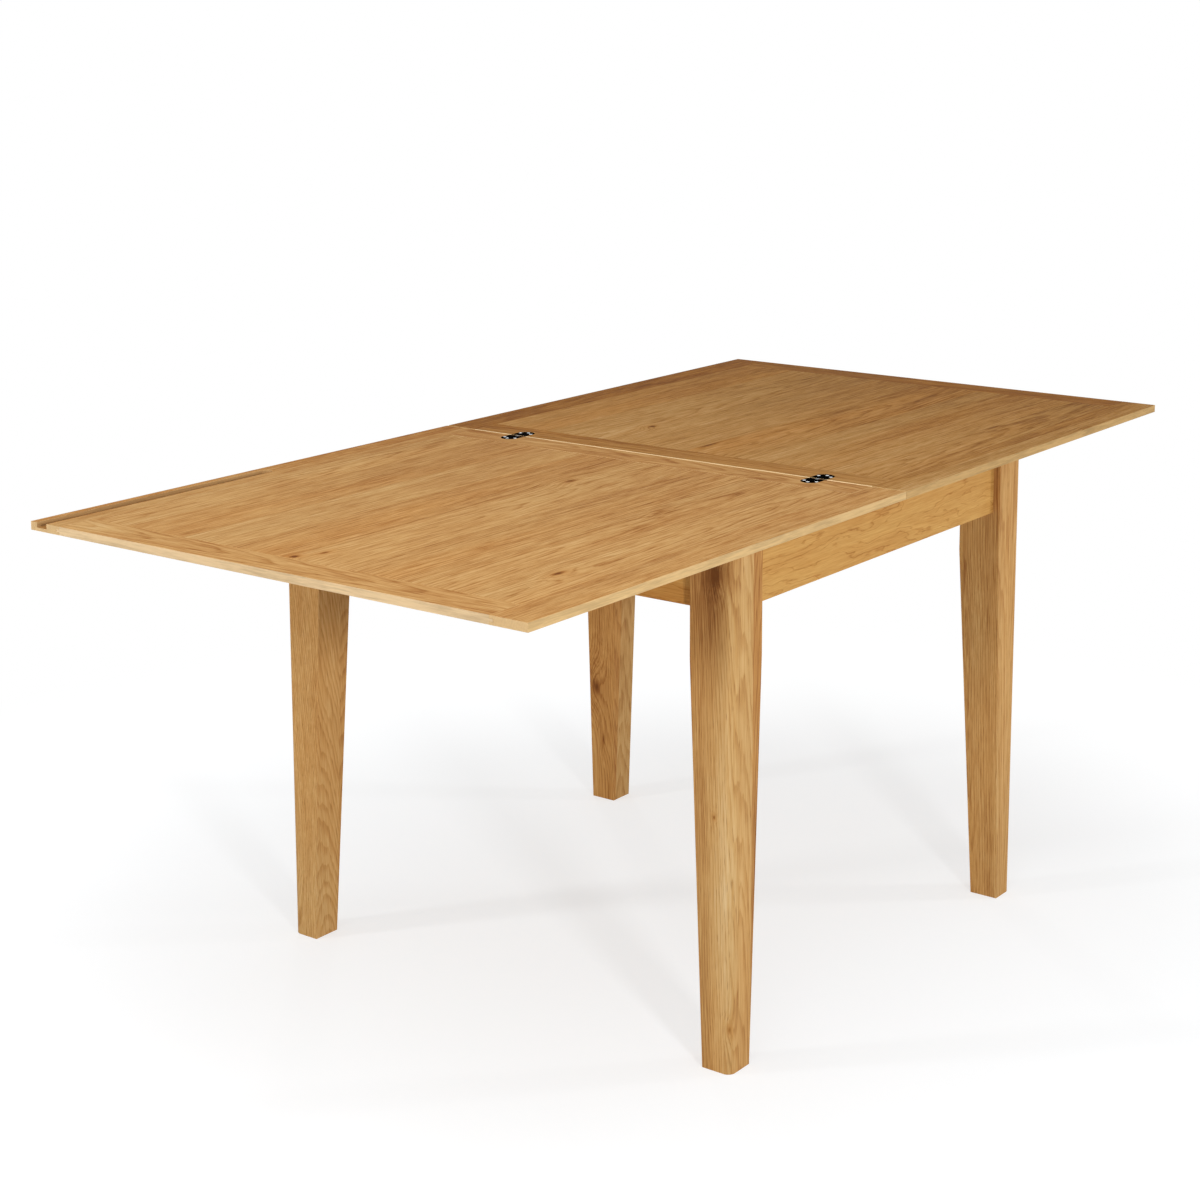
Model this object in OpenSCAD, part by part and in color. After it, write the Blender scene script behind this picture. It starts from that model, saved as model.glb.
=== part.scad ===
// Flip-top dining table, shown open: a fixed leaf that slides on the base,
// and a flap hinged to it that folds over on top of it.
// Origin on the floor under the middle of the open top, +Y along its length, +Z up.

/* [Top] */
// Width of both leaves, across the table
leaf_w = 900; // [800:10:1000]
// Length of each leaf, from the seam to its end
leaf_len = 900; // [800:10:1000]
// Thickness of both leaves
leaf_t = 12.5; // [12:0.5:18]
// Height of the table's upper surface
table_h = 770; // [700:5:800]
// Width of the solid rails round each leaf's panel
rail_w = 60; // [50:1:80]
// Gap between the two leaves at the seam
seam_gap = 1; // [0.6:0.1:1.4]
// Chamfer on the upper seam edge of each leaf
seam_chamfer = 1.5; // [1.4:0.1:2]
// Thickness of the tongues that join rails and panel
tongue_t = 4; // [3:0.5:5]
// Reach of those tongues into their grooves
tongue_reach = 6; // [4:0.5:8]
// Space left at the bottom of each tongue's groove
tongue_play = 0.5; // [0.2:0.1:1]

/* [Lifting groove] */
// Wood left outside the groove along the flap's left edge
groove_lip = 13; // [10:0.5:18]
// Width of the groove
groove_w = 20; // [14:1:24]
// Depth of the groove
groove_depth = 7.5; // [5:0.5:8]
// Length of the groove from the flap's free end
groove_len = 450; // [200:10:600]

/* [Base] */
// Outer width of the base, over the legs
base_w = 850; // [760:10:880]
// Outer length of the base, over the legs
base_len = 850; // [800:10:880]
// Side of each square leg at its top
leg_top = 72; // [60:1:80]
// Side of each square leg at its foot
leg_foot = 48; // [40:1:58]
// Length of the straight part at each leg's top
leg_straight = 160; // [130:5:220]
// Radius on each leg's outer corner
leg_round = 12; // [6:1:18]
// Thickness of the aprons
apron_t = 22; // [18:1:24]
// Height of the aprons
apron_h = 89; // [85:1:105]
// Setback of the aprons from the legs' outer faces
apron_inset = 12; // [6:1:14]
// Thickness of the tongues at the aprons' ends
apron_tongue_t = 8; // [6:1:10]
// Reach of those tongues into the legs
apron_tongue_reach = 12; // [8:1:16]
// Wood left above and below those tongues
apron_tongue_margin = 10; // [6:1:15]

/* [Slide] */
// Travel of the top along the base
travel = 450; // [400:10:470]
// Width of each guide rail
guide_w = 26; // [22:1:30]
// Height of each guide rail
guide_h = 40; // [36:1:42]
// Width of each runner under the fixed leaf, without its tongue
runner_w = 24; // [20:1:30]
// Drop of each runner below the fixed leaf
runner_h = 41; // [38:1:42]
// Thickness of the runner's tongue
runner_tongue_t = 8; // [6:0.5:10]
// Reach of the runner's tongue into the guide rail
runner_tongue_reach = 10; // [7:0.5:12]
// Play above, below and beside the runner's tongue
slide_play = 0.4; // [0.2:0.1:0.8]
// Play between a runner's end and the leg that stops it
stop_play = 0.5; // [0.3:0.1:1]
// Space between the leaves and the strips they slide on
leaf_play = 0.3; // [0.2:0.1:0.6]
// Height of the strips above the aprons
strip_proud = 0.3; // [0.2:0.1:0.6]
// Thickness of the glide strips
strip_t = 2; // [1.5:0.5:3]
// Width of the glide strips
strip_w = 10; // [6:1:14]
// Length of the glide strips
strip_len = 500; // [300:10:560]

/* [Corner blocks] */
// Height of the corner blocks
block_h = 36; // [30:1:38]
// Height of the corner blocks above the aprons' lower edge
block_lift = 4; // [2:1:6]
// Contact length of each corner block along an apron
block_reach = 84; // [78:1:100]
// Gap between a corner block and its leg
block_gap = 1; // [0.5:0.5:3]
// Diameter of the hanger bolts
bolt_d = 8; // [6:1:10]
// Depth of the hanger bolts in the legs
bolt_in_leg = 36; // [25:1:40]
// Play round the hanger bolts in the corner blocks
bolt_play = 0.5; // [0.3:0.1:1]
// Outer diameter of the washers
washer_d = 22; // [18:1:26]
// Thickness of the washers
washer_t = 1.6; // [1.2:0.2:2.4]
// Width of the nuts across their flats
nut_af = 13; // [12:1:17]
// Height of the nuts
nut_h = 6.5; // [5:0.5:8]
// Length of bolt beyond each nut
bolt_tail = 5; // [2:1:10]

/* [Hinges] */
// Distance of the hinges from the leaves' side edges
hinge_inset = 155; // [120:1:240]
// Length of each hinge plate from the seam
plate_len = 36.5; // [34:0.5:42]
// Width of the hinge plates
plate_w = 31; // [29:1:36]
// Thickness of the hinge plates
plate_t = 2.5; // [2:0.5:3]
// Depth of the hinge pins' axes below the upper surface
pin_depth = 2.5; // [2.3:0.1:2.8]
// Diameter of the hinge pins
pin_d = 2.4; // [2:0.1:2.6]
// Play round the pins in the links
pin_play = 0.05; // [0.02:0.01:0.1]
// Space between the leaves when they are folded together
fold_gap = 0.3; // [0.2:0.1:0.6]
// Width of each hinge link
link_w = 5; // [4:0.5:6]
// Space between a link's edge and the leaves' surfaces
link_margin = 0.15; // [0.1:0.05:0.3]
// Play beside each link
link_play = 0.15; // [0.1:0.05:0.4]
// Length of the thick part of each plate behind its pin
knuckle_len = 5; // [4:0.5:7]

/* [Screws] */
// Diameter of the wood screws
screw_d = 4; // [3:0.5:5]
// Head diameter of the wood screws
screw_head = 8; // [7:0.5:9]
// Length of the runners' screws
runner_screw_len = 40; // [38:1:43]
// Depth of the counterbores under the runners
runner_screw_sink = 10; // [8:1:11]
// Distance of the runners' outer screws from the runners' ends
runner_screw_end = 30; // [20:1:60]
// Length of the guide rails' screws
guide_screw_len = 36; // [32:1:38]
// Distance of the guide rails' outer screws from the rails' ends
guide_screw_end = 50; // [30:1:90]
// Length of the corner blocks' screws
block_screw_len = 32; // [28:1:38]
// Depth of the corner blocks' screws in the aprons
block_screw_bite = 12; // [8:1:15]
// Diameter of the hinge screws
hinge_screw_d = 2.5; // [2:0.1:3]
// Head diameter of the hinge screws
hinge_screw_head = 5.5; // [4.5:0.5:6]
// Length of the hinge screws
hinge_screw_len = 9; // [7:0.5:10]
// Side spacing of the two hinge screws nearest the pin
hinge_screw_pair = 22; // [18:0.5:24]
// Distance of that pair from the seam
hinge_screw_near = 21; // [18:0.5:22]
// Distance of the third hinge screw from the seam
hinge_screw_far = 28.5; // [27:0.5:30]

/* [Hidden] */
$fn = 64;
eps = 0.01;
runner_screws_each = 3;
guide_screws_each = 4;
screw_tip = 0.3;
nut_sides = 6;

// heights
leaf_under = table_h - leaf_t;
strip_top = leaf_under - leaf_play;
base_top = strip_top - strip_proud;
apron_z = base_top - apron_h;
block_z = apron_z + block_lift;
block_mid_z = block_z + block_h / 2;
guide_z = base_top - guide_h;
guide_mid_z = base_top - guide_h / 2;

// plan of the base
apron_out_x = base_w / 2 - apron_inset;
apron_out_y = base_len / 2 - apron_inset;
apron_in_x = apron_out_x - apron_t;
apron_in_y = apron_out_y - apron_t;
leg_in_x = base_w / 2 - leg_top;
leg_in_y = base_len / 2 - leg_top;
guide_in_x = apron_in_x - guide_w;
runner_out_x = guide_in_x - slide_play;
runner_mid_x = runner_out_x - runner_w / 2;
runner_len = 2 * leg_in_y - travel - 2 * stop_play;
runner_far_y = leg_in_y - stop_play;
guide_screw_z = guide_z + (guide_h - runner_tongue_t) / 4;

// corner blocks: reach of each wing from the aprons' inner corner, and
// distance along a hanger bolt from the leg's inner corner to the block's front face
block_wing = block_reach + leg_top - apron_inset - apron_t;
block_front = (leg_in_x + leg_in_y - apron_in_x - apron_in_y + block_wing) / sqrt(2);

// plan of a leaf
panel_x = leaf_w / 2 - rail_w;
panel_far = leaf_len - rail_w;
panel_near = seam_gap / 2 + rail_w;
tongue_low = leaf_under + (leaf_t - tongue_t) / 2;
tongue_high = tongue_low + tongue_t;
groove_x = groove_lip + groove_w / 2 - leaf_w / 2;
groove_end_y = leaf_len - groove_len + groove_w / 2;

// hinges
seam_y = seam_gap / 2;
pin_gap = 2 * pin_depth + fold_gap;
pin_y = pin_gap / 2;
knuckle_r = pin_depth;
knuckle_end_y = pin_y + knuckle_len;
link_r = pin_depth - link_margin;
hinge_x = leaf_w / 2 - hinge_inset;

// A box between two opposite corners
module block(low, high) {
    translate(low) cube([high[0] - low[0], high[1] - low[1], high[2] - low[2]]);
}

// Repeats a corner piece drawn at the back right corner
module at_corner(side_x, side_y) {
    mirror([side_x < 0 ? 1 : 0, 0, 0]) mirror([0, side_y < 0 ? 1 : 0, 0]) children();
}

module at_all_corners() {
    for (side_x = [-1, 1], side_y = [-1, 1]) at_corner(side_x, side_y) children();
}

// Countersunk wood screw, head's face at the origin, point along -Z
module wood_screw(length, shank, head) {
    cone = (head - shank) / 2;
    rotate_extrude()
        polygon([
            [0, 0], [head / 2, 0], [shank / 2, -cone],
            [shank / 2, shank - length], [screw_tip, -length], [0, -length]
        ]);
}

// Legs

// Foot to top outline of a leg, from its outer face inwards
module leg_outline() {
    polygon([
        [0, 0], [0, base_top], [-leg_top, base_top],
        [-leg_top, base_top - leg_straight], [-leg_foot, 0]
    ]);
}

module leg_plan() {
    difference() {
        translate([-leg_top, -leg_top]) square(leg_top);
        translate([-leg_round, -leg_round]) square(leg_round + eps);
    }
    translate([-leg_round, -leg_round]) circle(leg_round);
}

module hanger_bolt_place() {
    translate([leg_in_x, leg_in_y, block_mid_z]) rotate([0, 0, 45]) rotate([0, 90, 0]) children();
}

module leg(side_x, side_y) {
    color("burlywood") at_corner(side_x, side_y) difference() {
        translate([base_w / 2, base_len / 2, 0]) intersection() {
            linear_extrude(base_top) leg_plan();
            rotate([90, 0, 0]) linear_extrude(leg_top + eps) leg_outline();
            rotate([90, 0, -90]) mirror([1, 0, 0]) linear_extrude(leg_top + eps) leg_outline();
        }
        side_apron_tongue();
        end_apron_tongue();
        hanger_bolt_place() cylinder(h = 2 * bolt_in_leg, d = bolt_d, center = true);
    }
}

module leg_front_left() { leg(-1, -1); }
module leg_front_right() { leg(1, -1); }
module leg_back_left() { leg(-1, 1); }
module leg_back_right() { leg(1, 1); }

// Aprons

// Tongue of the right apron in the back right leg
module side_apron_tongue() {
    middle = apron_out_x - apron_t / 2;
    block(
        [middle - apron_tongue_t / 2, leg_in_y - eps, apron_z + apron_tongue_margin],
        [middle + apron_tongue_t / 2, leg_in_y + apron_tongue_reach, base_top - apron_tongue_margin]
    );
}

// Tongue of the back apron in the back right leg
module end_apron_tongue() {
    middle = apron_out_y - apron_t / 2;
    block(
        [leg_in_x - eps, middle - apron_tongue_t / 2, apron_z + apron_tongue_margin],
        [leg_in_x + apron_tongue_reach, middle + apron_tongue_t / 2, base_top - apron_tongue_margin]
    );
}

// Strip along Y on the right apron
module side_strip() {
    middle = apron_out_x - apron_t / 2;
    block(
        [middle - strip_w / 2, -strip_len / 2, strip_top - strip_t],
        [middle + strip_w / 2, strip_len / 2, strip_top]
    );
}

// Strip along X on the back apron
module end_strip() {
    middle = apron_out_y - apron_t / 2;
    block(
        [-strip_len / 2, middle - strip_w / 2, strip_top - strip_t],
        [strip_len / 2, middle + strip_w / 2, strip_top]
    );
}

module side_apron(side_x) {
    color("burlywood") at_corner(side_x, 1) difference() {
        union() {
            block([apron_in_x, -leg_in_y, apron_z], [apron_out_x, leg_in_y, base_top]);
            side_apron_tongue();
            mirror([0, 1, 0]) side_apron_tongue();
        }
        side_strip();
        guide_screws_right();
        block_screw_side();
        mirror([0, 1, 0]) block_screw_side();
    }
}

module end_apron(side_y) {
    color("burlywood") at_corner(1, side_y) difference() {
        union() {
            block([-leg_in_x, apron_in_y, apron_z], [leg_in_x, apron_out_y, base_top]);
            end_apron_tongue();
            mirror([1, 0, 0]) end_apron_tongue();
        }
        end_strip();
        block_screw_end();
        mirror([1, 0, 0]) block_screw_end();
    }
}

module apron_left() { side_apron(-1); }
module apron_right() { side_apron(1); }
module apron_front() { end_apron(-1); }
module apron_back() { end_apron(1); }

module glide_strips() {
    color("dimgray") for (side = [-1, 1]) {
        at_corner(side, 1) side_strip();
        at_corner(1, side) end_strip();
    }
}

// Guide rails on the side aprons, with their grooves facing inwards

module guide_screws_right() {
    pitch = 2 * (leg_in_y - guide_screw_end) / (guide_screws_each - 1);
    for (i = [0 : guide_screws_each - 1])
        translate([guide_in_x, guide_screw_end - leg_in_y + i * pitch, guide_screw_z])
            rotate([0, -90, 0]) wood_screw(guide_screw_len, screw_d, screw_head);
}

module guide_rail(side_x) {
    groove_half = runner_tongue_t / 2 + slide_play;
    groove_end = guide_in_x + runner_tongue_reach + slide_play;
    color("peru") at_corner(side_x, 1) difference() {
        block([guide_in_x, -leg_in_y, guide_z], [apron_in_x, leg_in_y, base_top]);
        block(
            [guide_in_x - eps, -leg_in_y - eps, guide_mid_z - groove_half],
            [groove_end, leg_in_y + eps, guide_mid_z + groove_half]
        );
        guide_screws_right();
    }
}

module guide_rail_left() { guide_rail(-1); }
module guide_rail_right() { guide_rail(1); }

module guide_screws() {
    color("silver") for (side = [-1, 1]) at_corner(side, 1) guide_screws_right();
}

// Corner blocks, bolted to the legs and screwed to the aprons

// Places what it holds at the head of the screw into the right apron
module at_block_side() {
    translate([
        apron_in_x + block_screw_bite - block_screw_len,
        apron_in_y - block_reach,
        block_mid_z
    ])
        rotate([0, -90, 0]) children();
}

// Places what it holds at the head of the screw into the back apron
module at_block_end() {
    translate([
        apron_in_x - block_reach,
        apron_in_y + block_screw_bite - block_screw_len,
        block_mid_z
    ])
        rotate([90, 0, 0]) children();
}

module block_screw_side() {
    at_block_side() wood_screw(block_screw_len, screw_d, screw_head);
}

module block_screw_end() {
    at_block_end() wood_screw(block_screw_len, screw_d, screw_head);
}

module corner_block(side_x, side_y) {
    notch_x = leg_in_x - block_gap;
    notch_y = leg_in_y - block_gap;
    color("peru") at_corner(side_x, side_y) difference() {
        translate([0, 0, block_z]) linear_extrude(block_h) polygon([
            [apron_in_x, notch_y], [apron_in_x, apron_in_y - block_wing],
            [apron_in_x - block_wing, apron_in_y], [notch_x, apron_in_y],
            [notch_x, notch_y]
        ]);
        hanger_bolt_place() cylinder(h = 4 * block_wing, d = bolt_d + 2 * bolt_play, center = true);
        block_screw_side();
        block_screw_end();
        at_block_side() cylinder(h = block_wing, d = screw_head);
        at_block_end() cylinder(h = block_wing, d = screw_head);
    }
}

module corner_block_front_left() { corner_block(-1, -1); }
module corner_block_front_right() { corner_block(1, -1); }
module corner_block_back_left() { corner_block(-1, 1); }
module corner_block_back_right() { corner_block(1, 1); }

module block_screws() {
    color("silver") at_all_corners() {
        block_screw_side();
        block_screw_end();
    }
}

module hanger_bolts() {
    out = block_front + washer_t + nut_h + bolt_tail;
    color("silver") at_all_corners() hanger_bolt_place()
        translate([0, 0, -out]) cylinder(h = out + bolt_in_leg, d = bolt_d);
}

module bolt_washers() {
    color("silver") at_all_corners() hanger_bolt_place()
        translate([0, 0, -block_front - washer_t]) difference() {
            cylinder(h = washer_t, d = washer_d);
            translate([0, 0, -eps]) cylinder(h = washer_t + 2 * eps, d = bolt_d);
        }
}

module bolt_nuts() {
    color("silver") at_all_corners() hanger_bolt_place()
        translate([0, 0, -block_front - washer_t - nut_h]) difference() {
            cylinder(h = nut_h, d = nut_af / cos(180 / nut_sides), $fn = nut_sides);
            translate([0, 0, -eps]) cylinder(h = nut_h + 2 * eps, d = bolt_d);
        }
}

// Leaves. Both are drawn on the +Y side of the seam; the flap is mirrored.

module flap_side() {
    mirror([0, 1, 0]) children();
}

module panel() {
    block([-panel_x, panel_near, leaf_under], [panel_x, panel_far, table_h]);
    block(
        [-panel_x - tongue_reach, panel_near - tongue_reach, tongue_low],
        [panel_x + tongue_reach, panel_far + tongue_reach, tongue_high]
    );
}

// Cuts the chamfer along the upper seam edge
module seam_cut() {
    translate([-leaf_w / 2 - eps, seam_y, table_h]) rotate([90, 0, 90]) linear_extrude(leaf_w + 2 * eps)
        polygon([[-eps, eps], [seam_chamfer + eps, eps], [-eps, -seam_chamfer - eps]]);
}

// Side rail on the right
module side_rail() {
    difference() {
        block([panel_x, seam_y, leaf_under], [leaf_w / 2, leaf_len, table_h]);
        block(
            [panel_x - eps, seam_y - eps, tongue_low],
            [panel_x + tongue_reach + tongue_play, leaf_len + eps, tongue_high]
        );
        seam_cut();
    }
}

// Rail across the leaf between two heights along Y, with a stub tongue at each end
module cross_rail(near, far) {
    block([-panel_x, near, leaf_under], [panel_x, far, table_h]);
    block([-panel_x - tongue_reach, near, tongue_low], [panel_x + tongue_reach, far, tongue_high]);
}

module end_rail() {
    difference() {
        cross_rail(panel_far, leaf_len);
        block(
            [-leaf_w / 2, panel_far - eps, tongue_low],
            [leaf_w / 2, panel_far + tongue_reach + tongue_play, tongue_high]
        );
    }
}

module seam_rail() {
    difference() {
        cross_rail(seam_y, panel_near);
        block(
            [-leaf_w / 2, panel_near - tongue_reach - tongue_play, tongue_low],
            [leaf_w / 2, panel_near + eps, tongue_high]
        );
        seam_cut();
        at_hinges() {
            hinge_body();
            hinge_screw_set();
            block(
                [-link_w / 2 - link_play, 0, table_h - 2 * pin_depth],
                [link_w / 2 + link_play, knuckle_end_y, table_h + eps]
            );
        }
    }
}

// Places what it holds at the heads of the right runner's screws, which point up
module at_runner_screws() {
    pitch = (runner_len - 2 * runner_screw_end) / (runner_screws_each - 1);
    for (i = [0 : runner_screws_each - 1])
        translate([
            runner_mid_x,
            runner_far_y - runner_len + runner_screw_end + i * pitch,
            leaf_under - runner_h + runner_screw_sink
        ])
            rotate([180, 0, 0]) children();
}

module runner_screws_right() {
    at_runner_screws() wood_screw(runner_screw_len, screw_d, screw_head);
}

// Side rail of the fixed leaf, holed where a narrow leaf puts it over the right runner
module leaf_side_rail() {
    difference() {
        side_rail();
        runner_screws_right();
    }
}

module leaf_panel() {
    color("tan") difference() {
        panel();
        runner_screws();
    }
}

module leaf_left_rail() { color("tan") mirror([1, 0, 0]) leaf_side_rail(); }
module leaf_right_rail() { color("tan") leaf_side_rail(); }
module leaf_end_rail() { color("tan") end_rail(); }
module leaf_seam_rail() { color("tan") seam_rail(); }

module flap_panel() { color("tan") flap_side() panel(); }
module flap_right_rail() { color("tan") flap_side() side_rail(); }
module flap_end_rail() { color("tan") flap_side() end_rail(); }
module flap_seam_rail() { color("tan") flap_side() seam_rail(); }

module flap_left_rail() {
    color("tan") flap_side() difference() {
        mirror([1, 0, 0]) side_rail();
        block(
            [groove_x - groove_w / 2, groove_end_y, table_h - groove_depth],
            [groove_x + groove_w / 2, leaf_len + eps, table_h + eps]
        );
        translate([groove_x, groove_end_y, table_h - groove_depth])
            cylinder(h = groove_depth + eps, d = groove_w);
    }
}

// Runners under the fixed leaf

module runner(side_x) {
    near = runner_far_y - runner_len;
    color("peru") at_corner(side_x, 1) difference() {
        union() {
            block(
                [runner_out_x - runner_w, near, leaf_under - runner_h],
                [runner_out_x, runner_far_y, leaf_under]
            );
            block(
                [runner_out_x - eps, near, guide_mid_z - runner_tongue_t / 2],
                [guide_in_x + runner_tongue_reach, runner_far_y, guide_mid_z + runner_tongue_t / 2]
            );
        }
        runner_screws_right();
        at_runner_screws() cylinder(h = runner_screw_sink + eps, d = screw_head);
    }
}

module runner_left() { runner(-1); }
module runner_right() { runner(1); }

module runner_screws() {
    color("silver") for (side = [-1, 1]) at_corner(side, 1) runner_screws_right();
}

// Hinges: two plates let in flush, each with its own pin, and a link that joins the pins

// Solid form of one plate on the +Y side, before its holes
module hinge_body() {
    middle = plate_len - plate_w / 2;
    translate([0, 0, table_h - plate_t]) linear_extrude(plate_t) {
        translate([-plate_w / 2, pin_y]) square([plate_w, middle - pin_y]);
        translate([0, middle]) circle(plate_w / 2);
    }
    translate([-plate_w / 2, 0, table_h - pin_depth]) rotate([90, 0, 90]) linear_extrude(plate_w) {
        translate([pin_y, 0]) circle(knuckle_r);
        translate([pin_y, -knuckle_r]) square([knuckle_len, 2 * knuckle_r]);
    }
}

module hinge_pin() {
    translate([-plate_w / 2, pin_y, table_h - pin_depth])
        rotate([0, 90, 0]) cylinder(h = plate_w, d = pin_d);
}

module hinge_screw_set() {
    for (spot = [
        [-hinge_screw_pair / 2, hinge_screw_near],
        [hinge_screw_pair / 2, hinge_screw_near],
        [0, hinge_screw_far]
    ])
        translate([spot[0], spot[1], table_h])
            wood_screw(hinge_screw_len, hinge_screw_d, hinge_screw_head);
}

module hinge_plate() {
    difference() {
        hinge_body();
        block(
            [-link_w / 2 - link_play, -knuckle_r, table_h - 2 * pin_depth - eps],
            [link_w / 2 + link_play, pin_y + link_r + link_play, table_h + eps]
        );
        hinge_pin();
        hinge_screw_set();
    }
}

// One link, lying flat across the seam
module hinge_link() {
    rotate([90, 0, 90]) linear_extrude(link_w, center = true) difference() {
        union() {
            square([pin_gap, 2 * link_r], center = true);
            for (side = [-1, 1]) translate([side * pin_y, 0]) circle(link_r);
        }
        for (side = [-1, 1]) translate([side * pin_y, 0]) circle(pin_d / 2 + pin_play);
    }
}

module at_hinges() {
    for (side = [-1, 1]) translate([side * hinge_x, 0, 0]) children();
}

module leaf_hinge_plates() { color("gainsboro") at_hinges() hinge_plate(); }
module leaf_hinge_pins() { color("gray") at_hinges() hinge_pin(); }
module leaf_hinge_screws() { color("silver") at_hinges() hinge_screw_set(); }
module flap_hinge_plates() { color("gainsboro") flap_side() at_hinges() hinge_plate(); }
module flap_hinge_pins() { color("gray") flap_side() at_hinges() hinge_pin(); }
module flap_hinge_screws() { color("silver") flap_side() at_hinges() hinge_screw_set(); }

module hinge_links() {
    color("silver") at_hinges() translate([0, 0, table_h - pin_depth]) hinge_link();
}

leg_front_left();
leg_front_right();
leg_back_left();
leg_back_right();
apron_front();
apron_back();
apron_left();
apron_right();
guide_rail_left();
guide_rail_right();
corner_block_front_left();
corner_block_front_right();
corner_block_back_left();
corner_block_back_right();
hanger_bolts();
bolt_washers();
bolt_nuts();
block_screws();
guide_screws();
glide_strips();
leaf_panel();
leaf_left_rail();
leaf_right_rail();
leaf_end_rail();
leaf_seam_rail();
runner_left();
runner_right();
runner_screws();
leaf_hinge_plates();
leaf_hinge_pins();
leaf_hinge_screws();
hinge_links();
flap_panel();
flap_left_rail();
flap_right_rail();
flap_end_rail();
flap_seam_rail();
flap_hinge_plates();
flap_hinge_pins();
flap_hinge_screws();
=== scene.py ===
import math
import random

import bmesh
import bpy
from mathutils import Matrix, Vector


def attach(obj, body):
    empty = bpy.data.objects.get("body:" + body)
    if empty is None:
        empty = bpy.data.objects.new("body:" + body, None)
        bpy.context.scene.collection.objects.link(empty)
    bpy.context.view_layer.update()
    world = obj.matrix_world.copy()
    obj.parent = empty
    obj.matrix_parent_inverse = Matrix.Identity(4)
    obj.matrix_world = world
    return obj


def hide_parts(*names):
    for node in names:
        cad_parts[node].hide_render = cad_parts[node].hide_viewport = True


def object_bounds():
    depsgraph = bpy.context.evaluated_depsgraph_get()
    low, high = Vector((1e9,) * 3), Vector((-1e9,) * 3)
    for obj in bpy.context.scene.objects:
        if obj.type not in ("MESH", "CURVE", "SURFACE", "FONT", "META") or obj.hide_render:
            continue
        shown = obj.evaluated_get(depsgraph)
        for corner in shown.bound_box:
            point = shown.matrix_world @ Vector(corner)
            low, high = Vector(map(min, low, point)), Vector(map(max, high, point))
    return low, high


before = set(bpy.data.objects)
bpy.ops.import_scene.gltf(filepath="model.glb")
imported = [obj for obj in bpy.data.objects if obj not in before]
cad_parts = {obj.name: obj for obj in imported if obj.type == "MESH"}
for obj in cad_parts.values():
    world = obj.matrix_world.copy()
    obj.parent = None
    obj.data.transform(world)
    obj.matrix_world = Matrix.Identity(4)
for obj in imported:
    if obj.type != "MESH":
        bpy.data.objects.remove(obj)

# Flip-top dining table in satin oak. Units are metres: +Y runs along the open top, +Z is up.
cadLow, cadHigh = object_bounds()
mm = 0.001
topZ = cadHigh.z  # upper surface of both leaves
shiftAcross = 0.7  # moves noise across the grain by this much of its move along it
print("table: frame loaded,", len(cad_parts), "nodes")


# Small helpers for node trees

def feed(tree, socket, value):
    if isinstance(value, bpy.types.NodeSocket):
        tree.links.new(value, socket)
    else:
        socket.default_value = value


def addNode(tree, kind, inputs=None, **settings):
    made = tree.nodes.new("ShaderNode" + kind)
    for name, value in settings.items():
        setattr(made, name, value)
    for socket, value in (inputs or {}).items():
        feed(tree, made.inputs[socket], value)
    return made


def calc(tree, operation, *values, clamp=False):
    made = addNode(tree, "Math", operation=operation, use_clamp=clamp)
    for socket, value in zip(made.inputs, values):
        feed(tree, socket, value)
    return made.outputs[0]


def plus(tree, first, *others):
    for other in others:
        first = calc(tree, "ADD", first, other)
    return first


def times(tree, first, *others):
    for other in others:
        first = calc(tree, "MULTIPLY", first, other)
    return first


def stretched(tree, u, v, w, along, across, shift):
    # Coordinates drawn out along the grain, for noise that runs with the fibres
    return addNode(tree, "CombineXYZ", {
        0: plus(tree, times(tree, u, along), shift),
        1: plus(tree, times(tree, v, across), shift * shiftAcross),
        2: times(tree, w, across),
    }).outputs[0]


def splitXYZ(tree, vector):
    return addNode(tree, "SeparateXYZ", {0: vector}).outputs


def noiseOf(tree, vector, scale, detail, roughness):
    made = addNode(tree, "TexNoise", {
        "Vector": vector, "Scale": scale, "Detail": detail, "Roughness": roughness,
    })
    return made.outputs[0]


def lineNoise(tree, value, detail, roughness):
    made = addNode(tree, "TexNoise", {"W": value, "Scale": 1.0, "Detail": detail, "Roughness": roughness},
                   noise_dimensions="1D")
    return made.outputs[0]


def swing(tree, value, amount):
    # A value round 0.5 becomes one round zero, as strong as amount
    return calc(tree, "MULTIPLY_ADD", value, amount, -0.5 * amount)


def smooth(tree, value, low, high, newLow=0.0, newHigh=1.0):
    made = addNode(tree, "MapRange", {"Value": value, "From Min": low, "From Max": high,
                                      "To Min": newLow, "To Max": newHigh}, interpolation_type="SMOOTHSTEP")
    return made.outputs[0]


def setStops(ramp, stops, interpolation):
    ramp.interpolation = interpolation
    while len(ramp.elements) < len(stops):
        ramp.elements.new(0.5)
    while len(ramp.elements) > len(stops):
        ramp.elements.remove(ramp.elements[-1])
    for element, (place, colour) in zip(ramp.elements, stops):
        element.position = place
        element.color = (*colour, 1.0)


def rampOf(tree, value, stops, interpolation="LINEAR"):
    made = addNode(tree, "ValToRGB", {"Fac": value})
    setStops(made.color_ramp, stops, interpolation)
    return made.outputs[0]


def mixColour(tree, amount, first, second, kind="MIX"):
    made = addNode(tree, "Mix", data_type="RGBA", blend_type=kind)
    for socket, value in zip((made.inputs[0], made.inputs[6], made.inputs[7]), (amount, first, second)):
        if isinstance(value, tuple):
            value = (*value, 1.0)
        feed(tree, socket, value)
    return made.outputs[2]


def newMaterial(name):
    made = bpy.data.materials.new(name)
    made.use_nodes = True
    made.node_tree.nodes.clear()
    return made, made.node_tree


def closeMaterial(tree, inputs):
    shader = addNode(tree, "BsdfPrincipled", inputs)
    tree.links.new(shader.outputs[0], addNode(tree, "OutputMaterial").inputs[0])


# Oak. Every board has its own pith line, and its figure is the rings round that line,
# so a board sawn near the pith shows arches and one sawn far from it shows straight grain.

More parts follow.
